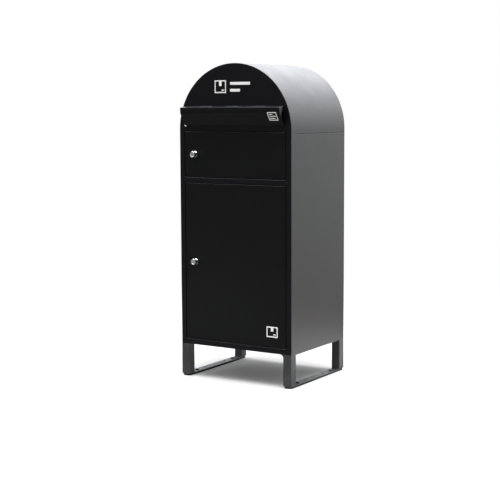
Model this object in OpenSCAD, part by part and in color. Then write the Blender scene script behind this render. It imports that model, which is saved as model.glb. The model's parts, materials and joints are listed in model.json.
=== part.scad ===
// Floor-standing parcel drop box: arched sheet-steel cabinet on two leg frames,
// with a mail flap, a mail door above and a parcel door below.
// Millimetres. The front faces -Y, +X is to the right seen from the front, +Z is up.
// The origin is on the floor, at the centre of the four floor-anchor holes.

/* [Cabinet] */
// Width of the cabinet
body_w = 430; // [400:5:480]
// Depth of the cabinet
body_d = 360; // [320:5:420]
// Height from the floor to the crown of the arch
total_h = 1050; // [1000:10:1150]
// Height of the cabinet's underside above the floor
leg_h = 111; // [95:1:140]
// Thickness of the cabinet's sheet steel
sheet = 1.5; // [1.2:0.1:2]
// Straight skirt of the arch shell below the semicircle
arch_skirt = 13; // [8:1:20]
// Open joint between the arch shell and each side panel
seam_gap = 1.5; // [0.5:0.5:2]

/* [Door openings] */
// Width of the front frame beside each door opening
stile_w = 18.5; // [16:0.5:24]
// Height of the front frame below the parcel door
bottom_rail_h = 18; // [15:1:24]
// Height of the front frame between the two doors
cross_rail_h = 17; // [15:1:24]
// Height of the mail door's opening
mail_opening_h = 154; // [130:1:160]
// Distance from the top of the mail opening to the start of the arch
above_mail_opening = 5; // [3:1:12]
// Gap between a door's edge and its opening
door_gap = 2; // [1.5:0.1:3]
// Depth of the folded edge round each door pan
pan_d = 12; // [10:1:14]
// Depth of the jamb folded inwards round each opening
jamb_d = 17; // [17:1:20]
// Width of the stop flange that each door closes against
stop_w = 12; // [10:1:14]

/* [Door pivots] */
// Distance from a door's hinge edge in to its pivot axis
pivot_in = 10; // [9:0.5:12]
// Distance from a door's face back to its pivot axis
pivot_back = 6; // [5.5:0.1:6]
// Radius of each pivot pin
pivot_pin_r = 2.5; // [2:0.1:2.6]
// Radial clearance of every turning fit
running_gap = 0.06; // [0.02:0.01:0.1]

/* [Mail flap] */
// Width of the flap
flap_w = 382; // [360:2:390]
// Height of the flap's hinge axis above the start of the arch
flap_axis_up = 72; // [66:1:80]
// Distance from the front panel to the flap's hinge axis
flap_axis_out = 7; // [7:0.5:9]
// Distance from the front panel to the flap's face
flap_out = 32; // [28:1:36]
// Height of the flap's upright face before it bends back to the panel
flap_face_h = 11; // [8:1:14]
// Radius of that bend
flap_bend_r = 22; // [16:1:26]
// Slant of the flap's lower part from the vertical, in degrees
flap_slant = 36; // [35:0.5:37]
// Width of the mail slot behind the flap
slot_w = 340; // [300:5:350]
// Height of the mail slot
slot_h = 34; // [30:1:35]

/* [Locks] */
// Distance from the cabinet's left side to each lock's axis
lock_in = 60.5; // [50:0.5:70]
// Radius of the lock's front collar
lock_r = 10; // [9:0.5:12]
// Distance that the lock stands out from the door
lock_out = 17; // [12:0.5:20]
// Length of the cam from the lock's axis to its tip
cam_len = 38; // [36:0.5:39]

/* [Leg frames] */
// Side of each square leg post
post_w = 30; // [25:1:35]
// Wall of each leg post
post_wall = 2; // [1.5:0.5:3]
// Thickness of the rubber runner under each leg frame
runner_t = 4.5; // [3:0.5:6]
// Thickness of the steel foot bar
foot_bar_t = 2.5; // [2:0.5:4]
// Distance from the centre to each runner screw, front to back
runner_screw_y = 112; // [100:1:130]
// Distance from the centre to each floor anchor, front to back
anchor_y = 60; // [40:5:80]
// Radius of each floor-anchor hole
anchor_r = 4.5; // [3.5:0.5:5.5]

/* [Hidden] */
$fn = 64;
eps = 0.5;

// Cabinet
half_w = body_w / 2;
half_d = body_d / 2;
front_y = -half_d;
arch_z = total_h - half_w;
seam_z = arch_z - arch_skirt;
inner_w = half_w - sheet;
inner_d = half_d - sheet;
return_w = 12;

// Door openings, each [half width, low z, high z]
opening_half = half_w - stile_w;
mail_top = arch_z - above_mail_opening;
mail_opening = [opening_half, mail_top - mail_opening_h, mail_top];
parcel_opening = [opening_half, leg_h + bottom_rail_h, mail_opening[1] - cross_rail_h];
door_half = opening_half - door_gap;
mail_door_z = [mail_opening[1] + door_gap, mail_opening[2] - door_gap];
parcel_door_z = [parcel_opening[1] + door_gap, parcel_opening[2] - door_gap];
stop_y = front_y + jamb_d;
seal_clear = 0.4;
seal_t = jamb_d - sheet - pan_d - seal_clear;
pivot_x = door_half - pivot_in;
pivot_y = front_y + pivot_back;
bush_r = 4;
bush_flange_r = 5.5;
bush_flange_t = 1;
bush_len = 6;
stop_end_x = pivot_x - 8;
seal_end_x = pivot_x - 14;
pin_head_r = 4.5;
pin_head_t = 1.5;
shelf_z = parcel_opening[2] + cross_rail_h / 2;
shelf_gap = 3;
shelf_front = stop_y + shelf_gap;

// Mail flap
flap_axis = [front_y - flap_axis_out, arch_z + flap_axis_up];
flap_face_y = front_y - flap_out;
flap_bend = [flap_face_y + flap_bend_r, flap_axis[1] - flap_face_h];
flap_out_of_bend = [-cos(flap_slant), -sin(flap_slant)];
flap_down_slant = [sin(flap_slant), -cos(flap_slant)];
flap_tail_gap = 2.6;
flap_tail_y = front_y - flap_tail_gap;
flap_slant_len = (flap_tail_y - flap_bend[0] + flap_bend_r * cos(flap_slant)) / sin(flap_slant);
flap_tail = flap_bend + flap_bend_r * flap_out_of_bend + flap_slant_len * flap_down_slant;
knuckle_r = 5;
flap_top_slope = knuckle_r / (flap_axis[0] - flap_face_y);
rod_r = 2.5;
knuckles = 7;
knuckle_span = flap_w - 22;
knuckle_pitch = knuckle_span / knuckles;
knuckle_gap = 0.6;
knuckle_room_r = 6.8;
slot_below_axis = 16;
slot_z = flap_axis[1] - slot_below_axis - slot_h;
leaf_t = 1.2;
leaf_above_slot = 2;
leaf_z = slot_z + slot_h + leaf_above_slot;
bumper_r = 3.5;
bumper_t = 2.3;

// Locks
lock_x = -half_w + lock_in;
mail_lock_z = (mail_door_z[0] + mail_door_z[1]) / 2;
parcel_lock_z = (parcel_door_z[0] + parcel_door_z[1]) / 2;
lock_rose_r = lock_r + 0.5;
lock_rose_t = 2.5;
lock_waist_r = lock_r - 1.5;
lock_collar_t = 9;
lock_barrel_r = 8;
lock_key_face = 0.8;
lock_barrel_back = stop_y - 0.5;
plug_r = lock_r - 3;
plug_back = stop_y + 1.5;
plug_square = 7;
cam_t = 2.5;
cam_r = 7;
cam_screw_r = 2;
cam_screw_len = 6;

// Leg frames
leg_x = half_w - post_w / 2;
foot_top = runner_t + foot_bar_t;
foot_corner_r = 10;
foot_screw_r = 2.5;
foot_thread_r = 2;
runner_inset = 0.8;
rail_t = 4;
rail_w = 24;
leg_bolt_y = 100;
leg_bolt_r = 3;
gusset_r = 13;
gusset_t = 3;

// ---- shared shapes -------------------------------------------------------------

// A block between two opposite corners
module block(low, high) {
    translate(low) cube(high - low);
}

// A flat outline drawn in X and Z, given a thickness back from y
module upright(y, t) {
    translate([0, y + t, 0]) rotate([90, 0, 0]) linear_extrude(t) children();
}

// A flat outline drawn in Y and Z, given a length along X
module along_x(x, len) {
    translate([x, 0, 0]) rotate([90, 0, 90]) linear_extrude(len) children();
}

// A round bar along Y between two depths
module round_y(x, z, r, y0, y1) {
    translate([x, y0, z]) rotate([-90, 0, 0]) cylinder(r = r, h = y1 - y0);
}

// The outline of the cabinet seen from the front
module facade() {
    translate([-half_w, leg_h]) square([body_w, arch_z - leg_h]);
    intersection() {
        translate([0, arch_z]) circle(half_w);
        translate([-half_w, arch_z - eps]) square([body_w, half_w + 2 * eps]);
    }
}

// A rectangle in X and Z from an opening, grown by a margin
module opening_outline(opening, margin) {
    translate([-opening[0] - margin, opening[1] - margin])
        square([2 * (opening[0] + margin), opening[2] - opening[1] + 2 * margin]);
}

// A stadium outline between two points on one vertical line
module stadium(r, len) {
    circle(r);
    translate([-r, -len]) square([2 * r, len]);
    translate([0, -len]) circle(r);
}

// ---- cabinet -------------------------------------------------------------------

// The jamb folded back round an opening, with the stop flange on three sides;
// the hinge side has no stop, so that the door's corner can swing past it
module jamb(opening) {
    upright(front_y, jamb_d) difference() {
        opening_outline(opening, sheet);
        opening_outline(opening, 0);
    }
    upright(stop_y - sheet, sheet) difference() {
        opening_outline(opening, sheet);
        translate([-opening[0] + stop_w, opening[1] + stop_w])
            square([2 * opening[0], opening[2] - opening[1] - 2 * stop_w]);
        translate([stop_end_x, opening[1]])
            square([2 * opening[0], opening[2] - opening[1]]);
    }
}

module pivot_holes(opening) {
    translate([pivot_x, pivot_y, opening[1] - 2 * sheet])
        cylinder(r = pivot_pin_r, h = opening[2] - opening[1] + 4 * sheet);
}

module front_frame() {
    color("#2a2a2c") difference() {
        union() {
            upright(front_y, sheet) difference() {
                facade();
                opening_outline(mail_opening, 0);
                opening_outline(parcel_opening, 0);
                translate([-slot_w / 2, slot_z]) square([slot_w, slot_h]);
            }
            jamb(mail_opening);
            jamb(parcel_opening);
        }
        pivot_holes(mail_opening);
        pivot_holes(parcel_opening);
    }
}

// The right-hand side panel, with its front and rear edges folded inwards
module side_panel() {
    top = seam_z - seam_gap / 2;
    block([inner_w, -inner_d, leg_h], [half_w, inner_d, top]);
    for (y = [-inner_d, inner_d - sheet])
        block([inner_w - return_w, y, leg_h + sheet], [inner_w, y + sheet, top]);
}

module right_side_panel() {
    color("#2a2a2c") side_panel();
}

module left_side_panel() {
    color("#2a2a2c") mirror([1, 0, 0]) side_panel();
}

// Half-round shell with short skirts, and a lap strip inside each seam
module arch_shell() {
    skirt_z = seam_z + seam_gap / 2;
    lap = 14;
    color("#2a2a2c") {
        upright(-inner_d, 2 * inner_d) difference() {
            union() {
                translate([-half_w, skirt_z]) square([body_w, arch_z - skirt_z]);
                translate([0, arch_z]) circle(half_w);
            }
            translate([-inner_w, skirt_z - eps]) square([2 * inner_w, arch_z - skirt_z + eps]);
            translate([0, arch_z]) circle(inner_w);
            translate([-half_w, arch_z - half_w - eps])
                square([body_w, half_w - arch_z + skirt_z + eps]);
        }
        for (side = [-1, 1])
            block([side * (inner_w - sheet / 2) - sheet / 2, -inner_d + sheet, seam_z - lap],
                  [side * (inner_w - sheet / 2) + sheet / 2, inner_d - sheet, seam_z + lap / 2]);
    }
}

module rear_panel() {
    color("#2a2a2c") upright(inner_d, sheet) facade();
}

module floor_panel() {
    drain_r = 3;
    drain_x = 150;
    drain_y = 140;
    color("#303032") difference() {
        block([-inner_w, -inner_d, leg_h], [inner_w, inner_d, leg_h + sheet]);
        for (x = [-leg_x, leg_x], y = [-leg_bolt_y, leg_bolt_y])
            translate([x, y, leg_h - eps]) cylinder(r = leg_bolt_r, h = sheet + 2 * eps);
        for (x = [-drain_x, drain_x], y = [-drain_y, drain_y])
            translate([x, y, leg_h - eps]) cylinder(r = drain_r, h = sheet + 2 * eps);
    }
}

// Floor of the mail compartment, with its front and side edges folded down
module divider_shelf() {
    lip = 12;
    side_gap = 1;
    side = inner_w - return_w - side_gap;
    color("#303032") {
        block([-side, shelf_front, shelf_z - sheet], [side, inner_d - sheet, shelf_z]);
        block([-side, shelf_front, shelf_z - lip], [side, shelf_front + sheet, shelf_z - sheet]);
        for (x = [-side, side - sheet])
            block([x, shelf_front + sheet, shelf_z - lip],
                  [x + sheet, inner_d - sheet, shelf_z - sheet]);
    }
}

// Foam strip on the three sides of a stop flange
module door_seal(opening) {
    strip_w = 7;
    margin = 2.5;
    color("#111111") upright(stop_y - sheet - seal_t, seal_t) difference() {
        translate([-opening[0] + margin, opening[1] + margin])
            square([opening[0] - margin + seal_end_x, opening[2] - opening[1] - 2 * margin]);
        translate([-opening[0] + margin + strip_w, opening[1] + margin + strip_w])
            square([2 * opening[0], opening[2] - opening[1] - 2 * (margin + strip_w)]);
    }
}

module mail_door_seal() {
    door_seal(mail_opening);
}

module parcel_door_seal() {
    door_seal(parcel_opening);
}

// One pin above and one below a door, each with its head outside the jamb
module pivot_pins(opening) {
    reach = door_gap + bush_len;
    color("silver") {
        translate([pivot_x, pivot_y, opening[2] - reach])
            cylinder(r = pivot_pin_r, h = reach + sheet);
        translate([pivot_x, pivot_y, opening[2] + sheet])
            cylinder(r = pin_head_r, h = pin_head_t);
        translate([pivot_x, pivot_y, opening[1] - sheet])
            cylinder(r = pivot_pin_r, h = reach + sheet);
        translate([pivot_x, pivot_y, opening[1] - sheet - pin_head_t])
            cylinder(r = pin_head_r, h = pin_head_t);
    }
}

module mail_door_pivot_pins() {
    pivot_pins(mail_opening);
}

module parcel_door_pivot_pins() {
    pivot_pins(parcel_opening);
}

// ---- mail flap and its hinge ------------------------------------------------------

// Left end of a knuckle
function knuckle_x(i) = -knuckle_span / 2 + i * knuckle_pitch + knuckle_gap / 2;
knuckle_len = knuckle_pitch - knuckle_gap;

module knuckle_ring() {
    difference() {
        translate(flap_axis) circle(knuckle_r);
        translate(flap_axis) circle(rod_r + running_gap);
    }
}

// Fixed leaf on the front panel, with every second knuckle
module flap_hinge_leaf() {
    color("#2a2a2c") {
        block([-knuckle_span / 2, front_y - leaf_t, leaf_z],
              [knuckle_span / 2, front_y, flap_axis[1] + knuckle_r]);
        for (i = [1 : 2 : knuckles - 2])
            along_x(knuckle_x(i), knuckle_len) difference() {
                union() {
                    translate(flap_axis) circle(knuckle_r);
                    translate([flap_axis[0], flap_axis[1] - knuckle_r])
                        square([flap_axis_out - leaf_t, knuckle_r]);
                }
                translate(flap_axis) circle(rod_r);
            }
    }
}

module flap_hinge_rod() {
    past_end = 1;
    color("silver") translate([-knuckle_span / 2 - past_end, flap_axis[0], flap_axis[1]])
        rotate([0, 90, 0]) cylinder(r = rod_r, h = knuckle_span + 2 * past_end);
}

// Height of the flap's sloping top surface at a depth y
function flap_top_z(y) = flap_axis[1] + (y - flap_face_y) * flap_top_slope;

// The flap's side outline: a sloping top, an upright face, a bend and a slanted
// lower part, drawn inside its outer surface by a margin and open-ended by spare
module flap_outline(margin, spare) {
    front = flap_face_y + margin;
    rear = flap_axis[0] + spare;
    drop = margin * sqrt(1 + pow(flap_top_slope, 2));
    bend_r = flap_bend_r - margin;
    below_bend = flap_bend + bend_r * flap_out_of_bend;
    polygon([
        [front, flap_bend[1]],
        [front, flap_top_z(front) - drop],
        [rear, flap_top_z(rear) - drop],
        below_bend + (flap_slant_len + spare) * flap_down_slant,
        below_bend
    ]);
    intersection() {
        translate(flap_bend) circle(bend_r, $fn = 128);
        polygon([
            flap_bend,
            flap_bend + 2 * flap_bend_r * [-1, 0],
            flap_bend + 2 * flap_bend_r * flap_out_of_bend
        ]);
    }
}

// The flap's sheet, open at the back
module flap_skin() {
    past_the_rear = 4;
    difference() {
        flap_outline(0, 0);
        flap_outline(sheet, past_the_rear);
    }
}

// The flap's end cheek, whose rear edge leans forward on its way down
module flap_cheek() {
    lean = 0.283;
    top = [flap_axis[0] - sheet, flap_axis[1] + 2 * knuckle_r];
    drop = top[1] - flap_tail[1];
    intersection() {
        flap_outline(0, 0);
        polygon([
            top,
            top - drop * [lean, 1],
            [flap_face_y - eps, top[1] - drop],
            [flap_face_y - eps, top[1]]
        ]);
    }
}

// Room round the hinge axis, cut from the flap where it has no knuckle
module knuckle_room(reach) {
    half_room = 1.5 * knuckle_r;
    translate([flap_axis[0] - reach, flap_axis[1] - half_room])
        square([reach + knuckle_r, 2 * half_room]);
}

module mail_flap() {
    end_w = (flap_w - knuckle_span) / 2 - sheet;
    end_room = 1;
    color("#262628") difference() {
        union() {
            along_x(-flap_w / 2, flap_w) flap_skin();
            for (x = [-flap_w / 2, flap_w / 2 - sheet])
                along_x(x, sheet) flap_cheek();
            for (i = [0 : 2 : knuckles - 1])
                along_x(knuckle_x(i), knuckle_len) translate(flap_axis) circle(knuckle_r);
        }
        for (i = [0 : 2 : knuckles - 1])
            along_x(knuckle_x(i) - eps, knuckle_len + 2 * eps)
                translate(flap_axis) circle(rod_r + running_gap);
        for (i = [1 : 2 : knuckles - 2])
            along_x(knuckle_x(i) - knuckle_gap, knuckle_len + 2 * knuckle_gap)
                knuckle_room(knuckle_room_r);
        for (x = [-flap_w / 2 + sheet, knuckle_span / 2])
            along_x(x, end_w) knuckle_room(end_room);
    }
}

// Soft button on the front panel, which the flap's lower left corner rests on
module flap_bumper() {
    color("gainsboro") round_y(-flap_w / 2, flap_tail[1], bumper_r, front_y - bumper_t, front_y);
}

// ---- doors -------------------------------------------------------------------------

module door_outline(z, margin) {
    translate([-door_half + margin, z[0] + margin])
        square([2 * (door_half - margin), z[1] - z[0] - 2 * margin]);
}

// A door pan: the face, and edges folded back on all four sides
module door_pan(z, lock_z) {
    difference() {
        union() {
            upright(front_y, sheet) door_outline(z, 0);
            upright(front_y, pan_d) difference() {
                door_outline(z, 0);
                door_outline(z, sheet);
            }
        }
        round_y(lock_x, lock_z, lock_barrel_r, front_y - eps, front_y + sheet + eps);
        for (edge_z = [z[0], z[1] - sheet])
            translate([pivot_x, pivot_y, edge_z - eps])
                cylinder(r = bush_r, h = sheet + 2 * eps);
    }
}

module mail_door() {
    color("#252527") door_pan(mail_door_z, mail_lock_z);
}

module parcel_door() {
    color("#252527") door_pan(parcel_door_z, parcel_lock_z);
}

// A flanged bush in the top or bottom edge of a door; up is 1 at the top, -1 below
module bush(z, up) {
    bore_r = pivot_pin_r + running_gap;
    translate([pivot_x, pivot_y, z]) mirror([0, 0, up > 0 ? 0 : 1]) difference() {
        union() {
            translate([0, 0, -bush_len]) cylinder(r = bush_r, h = bush_len);
            cylinder(r = bush_flange_r, h = bush_flange_t);
        }
        translate([0, 0, -bush_len - eps])
            cylinder(r = bore_r, h = bush_len + bush_flange_t + 2 * eps);
    }
}

module mail_door_bushes() {
    color("#1a1a1a") {
        bush(mail_door_z[0], -1);
        bush(mail_door_z[1], 1);
    }
}

module parcel_door_bushes() {
    color("#1a1a1a") {
        bush(parcel_door_z[0], -1);
        bush(parcel_door_z[1], 1);
    }
}

// Hat-section stiffener up the middle of the parcel door's inner face
module parcel_door_stiffener() {
    hat_w = 40;
    hat_d = 10;
    foot = 12;
    clear = 30;
    z0 = parcel_door_z[0] + clear;
    len = parcel_door_z[1] - parcel_door_z[0] - 2 * clear;
    back = front_y + sheet;
    color("#303032") translate([0, 0, z0]) linear_extrude(len) difference() {
        union() {
            translate([-hat_w / 2 - foot, back]) square([hat_w + 2 * foot, sheet]);
            translate([-hat_w / 2, back]) square([hat_w, hat_d]);
        }
        translate([-hat_w / 2 + sheet, back - eps]) square([hat_w - 2 * sheet, hat_d - sheet + eps]);
    }
}

// ---- locks -------------------------------------------------------------------------

// Rose against the door, waist and front collar outside it, and barrel through it
module lock_housing(z) {
    rose_y = front_y - lock_rose_t;
    collar_y = front_y - lock_out;
    color("gainsboro") difference() {
        union() {
            round_y(lock_x, z, lock_rose_r, rose_y, front_y);
            round_y(lock_x, z, lock_waist_r, collar_y + eps, rose_y + eps);
            round_y(lock_x, z, lock_r, collar_y, collar_y + lock_collar_t);
            round_y(lock_x, z, lock_barrel_r, front_y - eps, lock_barrel_back);
        }
        round_y(lock_x, z, plug_r + running_gap, collar_y - eps, lock_barrel_back + eps);
    }
}

module lock_nut(z) {
    across_corners_r = 12;
    nut_t = 4;
    back = front_y + sheet;
    color("silver") difference() {
        translate([lock_x, back, z]) rotate([-90, 0, 0])
            cylinder(r = across_corners_r, h = nut_t, $fn = 6);
        round_y(lock_x, z, lock_barrel_r, back - eps, back + nut_t + eps);
    }
}

// Turning plug with a keyway in front and a square drive behind
module lock_plug(z) {
    key_w = 1.8;
    key_h = 8;
    key_depth = 9;
    face_y = front_y - lock_out + lock_key_face;
    half = plug_square / 2;
    color("silver") difference() {
        union() {
            round_y(lock_x, z, plug_r, face_y, plug_back);
            block([lock_x - half, plug_back - eps, z - half],
                  [lock_x + half, plug_back + cam_t, z + half]);
        }
        block([lock_x - key_w / 2, face_y - eps, z - key_h / 2],
              [lock_x + key_w / 2, face_y + key_depth, z + key_h / 2]);
        round_y(lock_x, z, cam_screw_r, plug_back - cam_screw_len, plug_back + cam_t + eps);
    }
}

// Locking cam, hanging down when the lock is open
module lock_cam(z) {
    half = plug_square / 2;
    color("silver") difference() {
        translate([lock_x, 0, z]) upright(plug_back, cam_t) stadium(cam_r, cam_len - cam_r);
        block([lock_x - half, plug_back - eps, z - half],
              [lock_x + half, plug_back + cam_t + eps, z + half]);
    }
}

module lock_cam_screw(z) {
    head_r = 5.2;
    head_t = 2.5;
    back = plug_back + cam_t;
    color("dimgray") {
        round_y(lock_x, z, head_r, back, back + head_t);
        round_y(lock_x, z, cam_screw_r, plug_back - cam_screw_len, back + head_t / 2);
    }
}

// ---- leg frames --------------------------------------------------------------------

// A square tube between the foot bar and the cabinet
module post(side, end) {
    inner = post_w / 2 - post_wall;
    mid = [side * leg_x, end * (half_d - post_w / 2), foot_top];
    high = leg_h - foot_top;
    color("#343436") translate(mid) difference() {
        translate([-post_w / 2, -post_w / 2, 0]) cube([post_w, post_w, high]);
        translate([-inner, -inner, -eps]) cube([2 * inner, 2 * inner, high + 2 * eps]);
    }
}

// A bar as long as the cabinet is deep, with rounded corners, drawn in X and Y
module foot_outline(side, inset) {
    r = foot_corner_r - inset;
    x = leg_x * side;
    w = post_w / 2 - inset;
    d = half_d - inset;
    translate([x - w, -d + r]) square([2 * w, 2 * (d - r)]);
    translate([x - w + r, -d]) square([2 * (w - r), 2 * d]);
    for (sx = [-1, 1], sy = [-1, 1])
        translate([x + sx * (w - r), sy * (d - r)]) circle(r);
}

module foot_holes(side, screw_r) {
    for (y = [-anchor_y, anchor_y])
        translate([side * leg_x, y]) circle(anchor_r);
    for (y = [-runner_screw_y, runner_screw_y])
        translate([side * leg_x, y]) circle(screw_r);
}

module foot_bar(side) {
    color("#343436") translate([0, 0, runner_t]) linear_extrude(foot_bar_t) difference() {
        foot_outline(side, 0);
        foot_holes(side, foot_screw_r);
    }
}

module foot_runner(side) {
    color("#101010") linear_extrude(runner_t) difference() {
        foot_outline(side, runner_inset);
        foot_holes(side, foot_thread_r);
    }
}

// Flat bar between the two posts of a leg frame, under the cabinet's floor
module mount_rail(side) {
    color("#343436") difference() {
        translate([side * leg_x - rail_w / 2, -half_d + post_w, leg_h - rail_t])
            cube([rail_w, body_d - 2 * post_w, rail_t]);
        for (y = [-leg_bolt_y, leg_bolt_y])
            translate([side * leg_x, y, leg_h - rail_t - eps])
                cylinder(r = leg_bolt_r, h = rail_t + 2 * eps);
    }
}

// Fillet plates where the front posts meet the cabinet's lower front edge
module front_gussets() {
    color("#343436") for (side = [-1, 1])
        upright(front_y, gusset_t) difference() {
            translate([side > 0 ? half_w - post_w - gusset_r : -half_w + post_w, leg_h - gusset_r])
                square(gusset_r);
            translate([side * (half_w - post_w - gusset_r), leg_h - gusset_r])
                circle(gusset_r, $fn = 48);
        }
}

// Bolts that hold the mount rails to the cabinet's floor, heads below
module leg_bolts() {
    head_r = 5.5;
    head_t = 4;
    thread_len = 7;
    shank = rail_t + sheet + thread_len;
    color("silver") for (x = [-leg_x, leg_x], y = [-leg_bolt_y, leg_bolt_y])
        translate([x, y, leg_h - rail_t]) {
            translate([0, 0, -head_t]) cylinder(r = head_r, h = head_t, $fn = 6);
            cylinder(r = leg_bolt_r, h = shank);
        }
}

module leg_nuts() {
    nut_r = 5.7;
    nut_t = 5;
    color("silver") for (x = [-leg_x, leg_x], y = [-leg_bolt_y, leg_bolt_y])
        translate([x, y, leg_h + sheet]) difference() {
            cylinder(r = nut_r, h = nut_t, $fn = 6);
            translate([0, 0, -eps]) cylinder(r = leg_bolt_r, h = nut_t + 2 * eps);
        }
}

// Hexagon-head screws through each foot bar into its runner
module runner_screws() {
    head_r = 6.5;
    head_t = 4.5;
    thread_len = 3;
    color("#1c1c1e") for (x = [-leg_x, leg_x], y = [-runner_screw_y, runner_screw_y])
        translate([x, y, foot_top]) {
            cylinder(r = head_r, h = head_t, $fn = 6);
            translate([0, 0, -foot_bar_t]) cylinder(r = foot_screw_r, h = foot_bar_t);
            translate([0, 0, -foot_bar_t - thread_len]) cylinder(r = foot_thread_r, h = thread_len);
        }
}

front_frame();
left_side_panel();
right_side_panel();
arch_shell();
rear_panel();
floor_panel();
divider_shelf();
mail_door_seal();
parcel_door_seal();
mail_door_pivot_pins();
parcel_door_pivot_pins();
flap_hinge_leaf();
flap_hinge_rod();
post(-1, -1);  // front_left_post
post(1, -1);  // front_right_post
post(-1, 1);  // rear_left_post
post(1, 1);  // rear_right_post
foot_bar(-1);  // left_foot_bar
foot_bar(1);  // right_foot_bar
foot_runner(-1);  // left_foot_runner
foot_runner(1);  // right_foot_runner
mount_rail(-1);  // left_mount_rail
mount_rail(1);  // right_mount_rail
front_gussets();
leg_bolts();
leg_nuts();
runner_screws();
mail_flap();
flap_bumper();
mail_door();
mail_door_bushes();
parcel_door();
parcel_door_bushes();
parcel_door_stiffener();
lock_housing(mail_lock_z);  // mail_lock_housing
lock_nut(mail_lock_z);  // mail_lock_nut
lock_plug(mail_lock_z);  // mail_lock_plug
lock_cam(mail_lock_z);  // mail_lock_cam
lock_cam_screw(mail_lock_z);  // mail_lock_cam_screw
lock_housing(parcel_lock_z);  // parcel_lock_housing
lock_nut(parcel_lock_z);  // parcel_lock_nut
lock_plug(parcel_lock_z);  // parcel_lock_plug
lock_cam(parcel_lock_z);  // parcel_lock_cam
lock_cam_screw(parcel_lock_z);  // parcel_lock_cam_screw
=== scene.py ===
"""Finishes, printed marks, floor, light and camera for the parcel drop box, in metres."""
import json
import math
from functools import partial
from typing import NamedTuple

import bmesh
import bpy
from mathutils import Matrix, Vector


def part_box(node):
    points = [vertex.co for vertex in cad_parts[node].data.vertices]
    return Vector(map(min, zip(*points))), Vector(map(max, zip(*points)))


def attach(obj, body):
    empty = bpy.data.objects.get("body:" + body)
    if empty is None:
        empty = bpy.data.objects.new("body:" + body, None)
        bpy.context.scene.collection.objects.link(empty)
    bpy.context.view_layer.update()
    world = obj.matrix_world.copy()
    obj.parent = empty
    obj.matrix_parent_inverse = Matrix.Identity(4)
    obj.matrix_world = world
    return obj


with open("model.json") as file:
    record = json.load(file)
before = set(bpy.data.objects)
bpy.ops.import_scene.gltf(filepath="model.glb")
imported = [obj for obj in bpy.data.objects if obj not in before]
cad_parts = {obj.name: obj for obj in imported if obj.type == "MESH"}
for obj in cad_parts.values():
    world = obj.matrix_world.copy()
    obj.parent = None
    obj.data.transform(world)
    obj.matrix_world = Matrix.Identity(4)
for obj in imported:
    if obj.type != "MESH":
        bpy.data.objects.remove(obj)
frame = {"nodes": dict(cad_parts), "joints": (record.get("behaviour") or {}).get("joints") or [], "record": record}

MM = 0.001
NODES = frame["nodes"]
SLOT_OF = {row["node"]: row["material_slot"] for row in frame["record"]["subparts"]}
PIVOT = {row["name"]: Vector(row["pos_m"]) for row in frame["joints"]}
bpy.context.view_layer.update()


# ---- edges ---------------------------------------------------------------------------

WELD_DISTANCE = 0.001 * MM
SHARP_ANGLE = math.radians(38)
EDGE_SEGMENTS = 3

# The round along each slot's sharp edges; a slot that isn't here keeps its edges
EDGE_RADIUS = {
    "cabinet_paint": 0.7 * MM,
    "door_paint": 0.7 * MM,
    "flap_paint": 0.4 * MM,
    "leg_paint": 0.8 * MM,
    "lock_chrome": 1.3 * MM,
    "zinc_steel": 0.25 * MM,
    "black_steel": 0.25 * MM,
    "runner_rubber": 0.6 * MM,
    "bumper_plastic": 0.5 * MM,
    "bush_nylon": 0.2 * MM,
}


def soften_edges(node):
    """A small round along a node's sharp edges, so that they catch the light."""
    weld = node.modifiers.new("weld", "WELD")
    weld.merge_threshold = WELD_DISTANCE
    radius = EDGE_RADIUS.get(SLOT_OF[node.name])
    if radius:
        bevel = node.modifiers.new("edge_round", "BEVEL")
        bevel.width = radius
        bevel.segments = EDGE_SEGMENTS
        bevel.limit_method = "ANGLE"
        bevel.angle_limit = SHARP_ANGLE
    normals = node.modifiers.new("normals", "WEIGHTED_NORMAL")
    normals.keep_sharp = True


# ---- shading building blocks -----------------------------------------------------------

BEVEL_SAMPLES = 8
# How far a rounded normal agrees with the flat one where an edge's painted highlight and polish start, and are
# full
EDGE_AGREEMENT = (0.97, 0.75)
# The values that noise seldom leaves
NOISE_RANGE = (0.3, 0.7)


class Shading:
    """A node tree, with a short way to write each kind of node that is used here."""

    def __init__(self, tree):
        self.tree = tree

    def add(self, kind, **inputs):
        """A node with its inputs set to values or joined to other nodes' outputs."""
        node = self.tree.nodes.new(kind)
        for name, value in inputs.items():
            self.put(value, node.inputs[name.replace("_", " ")])
        return node

    def put(self, value, socket):
        """Joins an output to a socket, or sets the socket to a value."""
        if isinstance(value, bpy.types.NodeSocket):
            self.tree.links.new(value, socket)
        else:
            socket.default_value = value

    def maths(self, operation, a, b):
        """A number worked out from two numbers."""
        node = self.tree.nodes.new("ShaderNodeMath")
        node.operation = operation
        self.put(a, node.inputs[0])
        self.put(b, node.inputs[1])
        return node.outputs["Value"]

    def vector_maths(self, operation, *vectors):
        """A number worked out from vectors, such as their dot product or a length."""
        node = self.tree.nodes.new("ShaderNodeVectorMath")
        node.operation = operation
        for vector, socket in zip(vectors, node.inputs):
            self.put(vector, socket)
        return node.outputs["Value"]

    def remap(self, value, source, target=(0.0, 1.0), curve="LINEAR"):
        """value moved from one range to another, and held at the ends."""
        node = self.add("ShaderNodeMapRange", Value=value)
        node.interpolation_type = curve
        for name, number in zip(("From Min", "From Max", "To Min", "To Max"), (*source, *target)):
            node.inputs[name].default_value = number
        return node.outputs["Result"]

    def tint(self, factor, colour_a, colour_b):
        """One colour passing into another with factor."""
        node = self.tree.nodes.new("ShaderNodeMix")
        node.data_type = "RGBA"
        self.put(factor, node.inputs["Factor"])
        for name, colour in (("A", colour_a), ("B", colour_b)):
            socket = next(s for s in node.inputs if s.name == name and s.type == "RGBA")
            self.put(colour if isinstance(colour, bpy.types.NodeSocket) else (*colour, 1.0), socket)
        return next(s for s in node.outputs if s.type == "RGBA")


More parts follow.
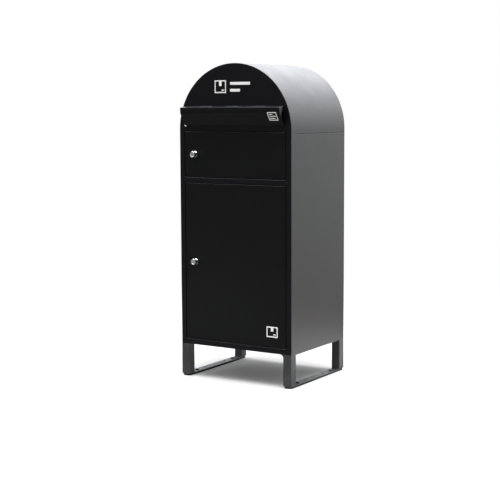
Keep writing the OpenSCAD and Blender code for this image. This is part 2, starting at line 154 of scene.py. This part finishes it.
class Finish(Shading):
    """A material around one Principled shader, patterned in the object's own space."""

    def __init__(self, name):
        self.material = bpy.data.materials.new(name)
        self.material.use_nodes = True
        super().__init__(self.material.node_tree)
        self.shader = self.tree.nodes["Principled BSDF"]
        self.space = self.add("ShaderNodeTexCoord").outputs["Object"]

    def noise(self, size, detail=2.0, rough=0.5):
        """Noise whose blotches are about that size, from 0 to 1."""
        node = self.add("ShaderNodeTexNoise", Vector=self.space, Scale=1 / size, Detail=detail,
                        Roughness=rough)
        return node.outputs["Fac"]

    def streaks(self, x, y, z, detail):
        """Noise with that many blotches per metre along each axis, for scratched or drawn metal."""
        space = self.add("ShaderNodeMapping", Vector=self.space, Scale=(x, y, z)).outputs["Vector"]
        return self.add("ShaderNodeTexNoise", Vector=space, Scale=1.0, Detail=detail).outputs["Fac"]

    def cells(self, size):
        """Distance to the nearest of many scattered points, in cells of about that size."""
        return self.add("ShaderNodeTexVoronoi", Vector=self.space, Scale=1 / size).outputs["Distance"]

    def bump(self, height, depth, normal=None):
        """Relief of that real depth, laid over another relief where one is given."""
        node = self.add("ShaderNodeBump", Height=height, Distance=depth)
        if normal:
            self.put(normal, node.inputs["Normal"])
        return node.outputs["Normal"]

    def rounded(self, radius):
        """The surface's normal, turned near sharp edges as if they had that radius."""
        node = self.add("ShaderNodeBevel", Radius=radius)
        node.samples = BEVEL_SAMPLES
        return node.outputs["Normal"]

    def patches(self, pattern, starts, full, least=0.0, most=1.0):
        """least where a pattern has not reached starts, then more, up to most where it is full."""
        return self.remap(pattern, (starts, full), (least, most))

    def varied(self, noise, middle, below, above):
        """A number that follows a noise from a little below its middle to a little above."""
        return self.remap(noise, NOISE_RANGE, (middle - below, middle + above))

    def edges(self, radius):
        """1 on sharp edges, falling to 0 within about a radius of them."""
        flat = self.add("ShaderNodeNewGeometry").outputs["True Normal"]
        agreement = self.vector_maths("DOT_PRODUCT", self.rounded(radius), flat)
        return self.remap(agreement, EDGE_AGREEMENT)

    def along(self, axis, reach):
        """0 to 1 as a point's place along axis goes through reach."""
        return self.remap(self.vector_maths("DOT_PRODUCT", self.space, axis), reach)

    def height_above_floor(self):
        """A point's height at rest, because each part's own space is the whole box's at rest."""
        return self.add("ShaderNodeSeparateXYZ", Vector=self.space).outputs["Z"]

    def finish(self, colour, roughness, normal, **fixed):
        """Joins the patterns to the shader and sets what is the same all over."""
        self.put(colour, self.shader.inputs["Base Color"])
        self.put(roughness, self.shader.inputs["Roughness"])
        self.put(normal, self.shader.inputs["Normal"])
        for name, value in fixed.items():
            self.shader.inputs[name.replace("_", " ")].default_value = value
        return self.material


# ---- the finishes ----------------------------------------------------------------------

def shaded(colour, factor, lift=0.0):
    """A colour made lighter or darker by a factor, and then lifted."""
    return [channel * factor + lift for channel in colour]


def settle_dust(paint, tone, gloss):
    """The tone and roughness of a finish with dust and scuffs near the floor."""
    dust_colour = (0.13, 0.125, 0.12)
    added_roughness = 0.5
    low = paint.patches(paint.height_above_floor(), starts=60 * MM, full=4 * MM)
    patches = paint.patches(paint.noise(size=9 * MM, detail=6.0), starts=0.42, full=0.7, most=0.5)
    dust = paint.maths("MULTIPLY", low, patches)
    return (paint.tint(dust, tone, dust_colour),
            paint.maths("ADD", gloss, paint.maths("MULTIPLY", dust, added_roughness)))


def powder_coat(name, colour, roughness, edge_highlight, dusty=False):
    """Satin powder coat: orange peel, fine grain, soft smudges, and glossier edges with a painted highlight along
    them.
    """
    paint = Finish(name)
    clouds = paint.noise(size=90 * MM, detail=4.0)
    specks = paint.patches(paint.cells(size=1.9 * MM), starts=0.10, full=0.02, most=0.35)
    # Patches along the edges, for the painted highlight and the polish
    edge_patches = paint.patches(paint.noise(size=14 * MM, detail=5.0), starts=0.35, full=0.62, least=0.3)
    edge = paint.maths("MULTIPLY", paint.edges(radius=1.1 * MM), edge_patches)

    dark = shaded(colour, 0.86)
    light = shaded(colour, 1.16)
    speck = shaded(colour, 1.7, lift=0.004)
    # Painted highlight: a lighter tone on the sharp edges, as if they caught the light
    edge_highlight_tone = shaded(colour, 2.0, lift=0.020)
    tone = paint.tint(paint.patches(clouds, starts=0.35, full=0.65), dark, light)
    tone = paint.tint(specks, tone, speck)
    tone = paint.tint(paint.maths("MULTIPLY", edge, edge_highlight), tone, edge_highlight_tone)

    smudge_polish = 0.035
    edge_polish = 0.10
    smudges = paint.patches(paint.noise(size=38 * MM, detail=5.0, rough=0.6), starts=0.50, full=0.68,
                            most=smudge_polish)
    gloss = paint.varied(clouds, roughness, below=0.02, above=0.03)
    gloss = paint.maths("SUBTRACT", gloss, smudges)
    gloss = paint.maths("SUBTRACT", gloss, paint.maths("MULTIPLY", edge, edge_polish))
    if dusty:
        tone, gloss = settle_dust(paint, tone, gloss)

    orange_peel = paint.noise(size=3.6 * MM, detail=1.0)
    relief = paint.bump(orange_peel, depth=0.050 * MM, normal=paint.rounded(radius=1.5 * MM))
    relief = paint.bump(paint.noise(size=0.7 * MM), depth=0.016 * MM, normal=relief)
    return paint.finish(tone, gloss, relief, IOR=1.5)


def chrome(name):
    """Polished plate with fine handling scratches and faint haze."""
    metal = Finish(name)
    dull = (0.72, 0.73, 0.75)
    bright = (0.86, 0.86, 0.87)
    scratch_roughness = 0.16
    coarse, fine = 900, 5200
    haze = metal.noise(size=5 * MM, detail=4.0)
    level = metal.patches(metal.streaks(coarse, coarse, fine, detail=3.0), starts=0.60, full=0.72)
    upright = metal.patches(metal.streaks(fine, coarse, coarse, detail=3.0), starts=0.62, full=0.74)
    scratches = metal.maths("MAXIMUM", level, upright)
    gloss = metal.varied(haze, middle=0.17, below=0.04, above=0.05)
    gloss = metal.maths("ADD", gloss, metal.maths("MULTIPLY", scratches, scratch_roughness))
    relief = metal.bump(scratches, depth=0.002 * MM)
    return metal.finish(metal.tint(haze, dull, bright), gloss, relief, Metallic=1.0)


def plated_steel(name, dark, light, roughness):
    """Zinc-plated steel: crystalline mottling over a fine drawn grain."""
    metal = Finish(name)
    spangle = metal.cells(size=1.6 * MM)
    clouds = metal.noise(size=7 * MM, detail=5.0)
    drawn = metal.streaks(2600, 2600, 400, detail=2.0)
    tone = metal.tint(metal.patches(clouds, starts=0.3, full=0.7), dark, light)
    tone = metal.tint(metal.patches(spangle, starts=0.1, full=0.6, most=0.25), tone, light)
    gloss = metal.varied(clouds, roughness, below=0.06, above=0.08)
    relief = metal.bump(drawn, depth=0.006 * MM)
    relief = metal.bump(spangle, depth=0.004 * MM, normal=relief)
    return metal.finish(tone, gloss, relief, Metallic=1.0)


def rubber(name):
    """Moulded rubber with a fine matt texture and dust in its lower edge."""
    material = Finish(name)
    black = (0.005, 0.005, 0.005)
    bloomed = (0.012, 0.0115, 0.011)
    dust_colour = (0.10, 0.09, 0.08)
    bloom = material.noise(size=22 * MM, detail=5.0)
    low = material.patches(material.height_above_floor(), starts=2 * MM, full=0.0, most=0.2)
    tone = material.tint(material.patches(bloom, starts=0.4, full=0.7), black, bloomed)
    tone = material.tint(material.maths("MULTIPLY", low, bloom), tone, dust_colour)
    gloss = material.varied(bloom, middle=0.75, below=0.09, above=0.09)
    relief = material.bump(material.noise(size=0.8 * MM, detail=3.0), depth=0.06 * MM)
    return material.finish(tone, gloss, relief, Specular_IOR_Level=0.2)


def foam(name):
    """Soft closed-cell foam: small open pores on a matt skin, with painted shade in the pores."""
    material = Finish(name)
    # Painted shade: the pores are darker than the skin
    pore_shade_colour = (0.008, 0.008, 0.008)
    skin_colour = (0.034, 0.034, 0.035)
    pores = material.cells(size=0.7 * MM)
    clouds = material.noise(size=12 * MM, detail=3.0)
    gloss = material.varied(clouds, middle=0.91, below=0.05, above=0.06)
    relief = material.bump(pores, depth=0.25 * MM)
    return material.finish(material.tint(pores, pore_shade_colour, skin_colour), gloss, relief)


def moulded(name, dark, light, roughness):
    """Moulded plastic: a faint flow pattern and spark-eroded grain."""
    material = Finish(name)
    flow = material.noise(size=3 * MM, detail=4.0, rough=0.6)
    gloss = material.varied(flow, roughness, below=0.05, above=0.07)
    relief = material.bump(material.noise(size=0.35 * MM), depth=0.015 * MM)
    return material.finish(material.tint(flow, dark, light), gloss, relief)


def screen_print(name):
    """White ink: the screen's fine pattern, and thin spots where the paint shows."""
    ink = Finish(name)
    full_white = (0.80, 0.80, 0.79)
    thinned = (0.34, 0.34, 0.34)
    mesh = ink.cells(size=0.45 * MM)
    thin = ink.patches(ink.noise(size=2.2 * MM, detail=5.0), starts=0.58, full=0.74, most=0.35)
    gloss = ink.patches(mesh, starts=0.0, full=0.8, least=0.46, most=0.58)
    return ink.finish(ink.tint(thin, full_white, thinned), gloss, ink.bump(mesh, depth=0.01 * MM))


# Each slot's finish, still to be given the slot's name
RECIPES = {
    "cabinet_paint": partial(powder_coat, colour=(0.0024, 0.0022, 0.0039), roughness=0.37, edge_highlight=0.6),
    "door_paint": partial(powder_coat, colour=(0.0022, 0.0022, 0.0024), roughness=0.37, edge_highlight=0.7),
    "flap_paint": partial(powder_coat, colour=(0.0019, 0.0019, 0.0021), roughness=0.35, edge_highlight=0.7),
    "leg_paint": partial(powder_coat, colour=(0.0390, 0.0390, 0.0405), roughness=0.52, edge_highlight=0.6,
                         dusty=True),
    "lock_chrome": chrome,
    "zinc_steel": partial(plated_steel, dark=(0.46, 0.47, 0.49), light=(0.66, 0.66, 0.65),
                          roughness=0.32),
    "black_steel": partial(plated_steel, dark=(0.030, 0.030, 0.033), light=(0.075, 0.075, 0.08),
                           roughness=0.38),
    "runner_rubber": rubber,
    "seal_foam": foam,
    # Pale bumpers at the flap's lower corners; their pale colour also gives the light spot at that corner, a
    # painted glint
    "bumper_plastic": partial(moulded, dark=(0.66, 0.66, 0.63), light=(0.80, 0.80, 0.77),
                              roughness=0.38),
    "bush_nylon": partial(moulded, dark=(0.016, 0.016, 0.016), light=(0.026, 0.026, 0.026),
                          roughness=0.46),
    "mark_print": screen_print,
}
FINISHES = {slot: recipe(slot) for slot, recipe in RECIPES.items()}


# ---- printed marks -----------------------------------------------------------------------

INK_THICKNESS = 0.12 * MM
STROKE = 3.6 * MM
GRID_STEP = 2.0 * MM
MERGE_DISTANCE = 0.01 * MM

# Shares of a parcel sign's width and height
TAPE_HALF_WIDTH = 0.11
TAPE_LENGTH = 0.45
LABEL_LENGTH = 0.22

LETTER_STROKE = 0.55 * STROKE
LETTER_MARGIN = 2.4 * LETTER_STROKE
# How much of a letter's width each written line fills, from the top down
WRITTEN_LINES = (0.55, 1.0, 0.8)

# The flap's outer face: upright at the top, then a bend, then a slant towards the cabinet
FLAP_FACE_HEIGHT = 11 * MM
FLAP_BEND_RADIUS = 22 * MM
FLAP_SLANT = math.radians(36)


def front_panel_point(x, z):
    """A point on the flat front of the cabinet or of a door."""
    return Vector((x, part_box("front_frame")[0].y, z))


def flap_point(x, z):
    """A point on the flap's outer face: upright, then round the bend, then down the slant."""
    face_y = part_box("mail_flap")[0].y
    bend_y = face_y + FLAP_BEND_RADIUS
    below = PIVOT["mail_flap_lift"].z - FLAP_FACE_HEIGHT - z
    if below <= 0:
        return Vector((x, face_y, z))
    bend_end = FLAP_BEND_RADIUS * math.sin(FLAP_SLANT)
    if below <= bend_end:
        return Vector((x, bend_y - math.sqrt(FLAP_BEND_RADIUS ** 2 - below ** 2), z))
    slant_y = bend_y - FLAP_BEND_RADIUS * math.cos(FLAP_SLANT)
    return Vector((x, slant_y + (below - bend_end) * math.tan(FLAP_SLANT), z))


def bar(x0, z0, x1, z1):
    """An upright rectangle cut into small squares in X and Z, so that it can follow a bent face."""
    across = max(1, round((x1 - x0) / GRID_STEP))
    up = max(1, round((z1 - z0) / GRID_STEP))
    xs = [x0 + (x1 - x0) * i / across for i in range(across + 1)]
    zs = [z0 + (z1 - z0) * k / up for k in range(up + 1)]
    return [
        [(xs[i], zs[k]), (xs[i + 1], zs[k]), (xs[i + 1], zs[k + 1]), (xs[i], zs[k + 1])]
        for i in range(across) for k in range(up)
    ]


def frame_strokes(x0, z0, x1, z1, stroke):
    """Four strokes that meet edge to edge round a rectangle."""
    return (bar(x0, z0, x1, z0 + stroke) + bar(x0, z1 - stroke, x1, z1)
            + bar(x0, z0 + stroke, x0 + stroke, z1 - stroke)
            + bar(x1 - stroke, z0 + stroke, x1, z1 - stroke))


def parcel_sign(x0, z0, x1, z1):
    """A flat parcel: an outline, a strip of tape from its top edge and a short label line."""
    width = x1 - x0
    middle = (x0 + x1) / 2
    tape = TAPE_HALF_WIDTH * width
    label_end = x1 - 2 * STROKE
    label_foot = z0 + 2 * STROKE
    return (frame_strokes(x0, z0, x1, z1, STROKE)
            + bar(middle - tape, z1 - TAPE_LENGTH * (z1 - z0), middle + tape, z1 - STROKE)
            + bar(label_end - LABEL_LENGTH * width, label_foot, label_end, label_foot + STROKE))


def letter_sign(x0, z0, x1, z1):
    """A letter page: an outline with written lines."""
    left = x0 + LETTER_MARGIN
    longest = x1 - x0 - 2 * LETTER_MARGIN
    spacing = (z1 - z0) / (len(WRITTEN_LINES) + 1)
    squares = frame_strokes(x0, z0, x1, z1, LETTER_STROKE)
    for row, share in enumerate(WRITTEN_LINES, start=1):
        foot = z1 - row * spacing - LETTER_STROKE / 2
        squares += bar(left, foot, left + share * longest, foot + LETTER_STROKE)
    return squares


# Each sign: its shape, its left, foot, right and top in millimetres, its surface and its body
SIGNS = {
    "arch_parcel_sign": (parcel_sign, (-74, 954, -30, 995), front_panel_point, "cabinet"),
    "arch_upper_bar": (bar, (-14, 980, 62, 989), front_panel_point, "cabinet"),
    "arch_lower_bar": (bar, (-14, 958, 24, 967), front_panel_point, "cabinet"),
    "flap_letter_sign": (letter_sign, (145, 866, 178, 892), flap_point, "flap"),
    "parcel_door_sign": (parcel_sign, (122, 164, 164, 199), front_panel_point, "parcel_door_body"),
}


def printed_mark(name, squares, surface, body):
    """Ink of an even thickness laid on a surface in the shape of the squares."""
    mesh = bmesh.new()
    for square in squares:
        mesh.faces.new([mesh.verts.new(surface(x, z)) for x, z in square])
    bmesh.ops.remove_doubles(mesh, verts=mesh.verts, dist=MERGE_DISTANCE)
    bmesh.ops.recalc_face_normals(mesh, faces=mesh.faces)
    for face in mesh.faces:
        if face.normal.y > 0:
            face.normal_flip()
    data = bpy.data.meshes.new(name)
    mesh.to_mesh(data)
    mesh.free()
    piece = bpy.data.objects.new(name, data)
    bpy.context.collection.objects.link(piece)
    piece.data.materials.append(FINISHES["mark_print"])
    ink = piece.modifiers.new("ink", "SOLIDIFY")
    ink.thickness = INK_THICKNESS
    ink.offset = 1.0
    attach(piece, body)


def print_marks():
    """Plain signs: a parcel and two bars on the arch, a letter on the flap, a parcel below."""
    for name, (shape, sides, surface, body) in SIGNS.items():
        printed_mark(name, shape(*(side * MM for side in sides)), surface, body)


# ---- camera ------------------------------------------------------------------------------

VIEW_YAW = math.radians(32.158)
VIEW_PITCH = math.radians(6.675)
VIEW_ROLL = math.radians(-0.243)
VIEW_DISTANCE = 4.277
VIEW_CENTRE = Vector((-0.0536, 0.0, 0.4204))
LENS = 89.73
FARTHEST_SEEN = 50.0


def add_camera():
    """A long lens from the front right, a little above the doors' middle."""
    forward = Vector((-math.sin(VIEW_YAW) * math.cos(VIEW_PITCH),
                      math.cos(VIEW_YAW) * math.cos(VIEW_PITCH), -math.sin(VIEW_PITCH)))
    level = Vector((math.cos(VIEW_YAW), math.sin(VIEW_YAW), 0.0))
    upward = level.cross(forward)
    right = math.cos(VIEW_ROLL) * level + math.sin(VIEW_ROLL) * upward
    top = math.cos(VIEW_ROLL) * upward - math.sin(VIEW_ROLL) * level
    data = bpy.data.cameras.new("camera")
    data.lens = LENS
    data.clip_end = FARTHEST_SEEN
    camera = bpy.data.objects.new("camera", data)
    axes = Matrix((right, top, -forward)).transposed().to_4x4()
    camera.matrix_world = Matrix.Translation(VIEW_CENTRE - VIEW_DISTANCE * forward) @ axes
    bpy.context.collection.objects.link(camera)
    bpy.context.scene.camera = camera


# ---- floor -------------------------------------------------------------------------------

FLOOR_RADIUS = 2.3
FLOOR_FADE = 1.4
FLOOR_SIDES = 96
FLOOR_WHITES = ((0.86, 0.86, 0.86), (0.90, 0.90, 0.90))

# Painted reflections, what glossy surfaces mirror instead of white: bright near the box and dimmer
# far from it, painted shade on the left, almost black in front, and a small grey pool at the front left
MIRRORED_NEAR = (1.40, 1.40, 1.42)
MIRRORED_FAR = (0.33, 0.27, 0.23)
MIRRORED_SHADE = (0.30, 0.30, 0.30)
MIRRORED_FRONT = (0.06, 0.06, 0.06)
MIRRORED_POOL = (0.6, 0.6, 0.6)
# Where each tone starts to pass into the next one and where it has, in metres
NEAR_TO_FAR = (0.60, 1.1)
BRIGHT_SIDE = (0.86, 0.51, 0.0)
SHADE_TO_BRIGHT = (0.15, 0.45)
FRONT_SIDE = (-0.45, -0.89, 0.0)
BRIGHT_TO_FRONT = (-0.15, 0.10)
POOL_CENTRE = (-0.85, -1.25, 0.0)
POOL_TO_FLOOR = (0.1, 0.45)


def floor_finish():
    """White card that fades out at its rim, and that glossy surfaces mirror in other tones, as a painted
    reflection.
    """
    card = Finish("studio_floor")
    from_middle = card.vector_maths("LENGTH", card.space)
    fade = card.remap(from_middle, (FLOOR_RADIUS - FLOOR_FADE, FLOOR_RADIUS), (1.0, 0.0))
    card.put(fade, card.shader.inputs["Alpha"])
    grain = card.noise(size=2 * MM, detail=3.0)
    white = card.tint(grain, *FLOOR_WHITES)
    from_pool = card.vector_maths("DISTANCE", card.space, POOL_CENTRE)
    mirrored = card.tint(card.remap(from_middle, NEAR_TO_FAR), MIRRORED_NEAR, MIRRORED_FAR)
    mirrored = card.tint(card.along(BRIGHT_SIDE, SHADE_TO_BRIGHT), MIRRORED_SHADE, mirrored)
    mirrored = card.tint(card.along(FRONT_SIDE, BRIGHT_TO_FRONT), mirrored, MIRRORED_FRONT)
    mirrored = card.tint(card.remap(from_pool, POOL_TO_FLOOR), MIRRORED_POOL, mirrored)
    is_mirrored = card.add("ShaderNodeLightPath").outputs["Is Glossy Ray"]
    gloss = card.varied(grain, middle=0.86, below=0.06, above=0.06)
    relief = card.bump(grain, depth=0.02 * MM)
    return card.finish(card.tint(is_mirrored, white, mirrored), gloss, relief)


def add_floor():
    """A round floor for the box to stand on."""
    mesh = bmesh.new()
    bmesh.ops.create_circle(mesh, cap_ends=True, segments=FLOOR_SIDES, radius=FLOOR_RADIUS)
    data = bpy.data.meshes.new("studio_floor")
    mesh.to_mesh(data)
    mesh.free()
    floor = bpy.data.objects.new("studio_floor", data)
    bpy.context.collection.objects.link(floor)
    data.materials.append(floor_finish())


# ---- walls and light ---------------------------------------------------------------------

class Spread(NamedTuple):
    """Light that passes smoothly between two strengths as a direction leans more along an axis."""
    axis: tuple
    leans: tuple
    strengths: tuple


# Multiplied: bright behind and to the right, brighter upwards, and brightest high up behind
WALLS = (
    Spread(axis=(0.30, 0.954, 0.0), leans=(0.10, 0.82), strengths=(0.02, 1.03)),
    Spread(axis=(0.0, 0.0, 1.0), leans=(-0.34, 0.50), strengths=(0.55, 3.2)),
    Spread(axis=(-0.12, 0.78, 0.61), leans=(0.80, 0.98), strengths=(1.0, 1.45)),
)
# Added: a dim card for the chrome locks, and a bright one that only rounded edges mirror
CARDS = (
    Spread(axis=(-0.568, -0.818, -0.082), leans=(0.992, 0.997), strengths=(0.0, 0.55)),
    Spread(axis=(-0.50, -0.25, 0.83), leans=(0.90, 0.97), strengths=(0.0, 7.0)),
)
WALL_COLOUR = (0.985, 1.0, 0.985)
CEILING_COLOUR = (0.965, 0.99, 1.035)
WALL_TO_CEILING = Spread(axis=(0.0, 0.0, 1.0), leans=(-0.10, 0.45), strengths=(0.0, 1.0))
WHITE = (1.0, 1.0, 1.0, 1.0)
# The strength of the white that lights matt surfaces, and of the white that the camera sees
PLAIN_LIGHT = 0.56
BACKGROUND = 1.0

SOFTBOX_PLACE = Vector((0.22, -0.18, 3.2))
SOFTBOX_AIM = Vector((0.0, 0.0, 0.0))
SOFTBOX_SIZE = 2.8
SOFTBOX_POWER = 185


def add_surroundings():
    """Studio walls that glossy surfaces mirror, an even light for the rest and a white backdrop."""
    world = bpy.data.worlds.new("studio")
    world.use_nodes = True
    world.node_tree.nodes.clear()
    bpy.context.scene.world = world
    studio = Shading(world.node_tree)
    direction = studio.add("ShaderNodeTexCoord").outputs["Generated"]
    rays = studio.add("ShaderNodeLightPath").outputs

    def spread(light):
        lean = studio.vector_maths("DOT_PRODUCT", direction, light.axis)
        return studio.remap(lean, light.leans, light.strengths, curve="SMOOTHSTEP")

    def glow(colour, strength):
        return studio.add("ShaderNodeBackground", Color=colour, Strength=strength).outputs["Background"]

    def choose(switch, otherwise, chosen):
        mix = studio.add("ShaderNodeMixShader", Fac=switch)
        studio.put(otherwise, mix.inputs[1])
        studio.put(chosen, mix.inputs[2])
        return mix.outputs["Shader"]

    strength = 1.0
    for wall in WALLS:
        strength = studio.maths("MULTIPLY", strength, spread(wall))
    for card in CARDS:
        strength = studio.maths("ADD", strength, spread(card))
    colour = studio.tint(spread(WALL_TO_CEILING), WALL_COLOUR, CEILING_COLOUR)
    seen = choose(rays["Is Glossy Ray"], glow(WHITE, PLAIN_LIGHT), glow(colour, strength))
    seen = choose(rays["Is Camera Ray"], seen, glow(WHITE, BACKGROUND))
    studio.add("ShaderNodeOutputWorld", Surface=seen)


def add_softbox():
    """A square soft light overhead that faces the box's foot."""
    data = bpy.data.lights.new("overhead", "AREA")
    data.shape = "SQUARE"
    data.size = SOFTBOX_SIZE
    data.energy = SOFTBOX_POWER
    lamp = bpy.data.objects.new("overhead", data)
    lamp.location = SOFTBOX_PLACE
    lamp.rotation_euler = (SOFTBOX_AIM - SOFTBOX_PLACE).to_track_quat("-Z", "Y").to_euler()
    bpy.context.collection.objects.link(lamp)


# ---- put together --------------------------------------------------------------------------

for node in NODES.values():
    node.data.materials.clear()
    node.data.materials.append(FINISHES[SLOT_OF[node.name]])
    soften_edges(node)
print_marks()
add_camera()
add_floor()
add_surroundings()
add_softbox()
bpy.context.scene.view_settings.view_transform = "Standard"
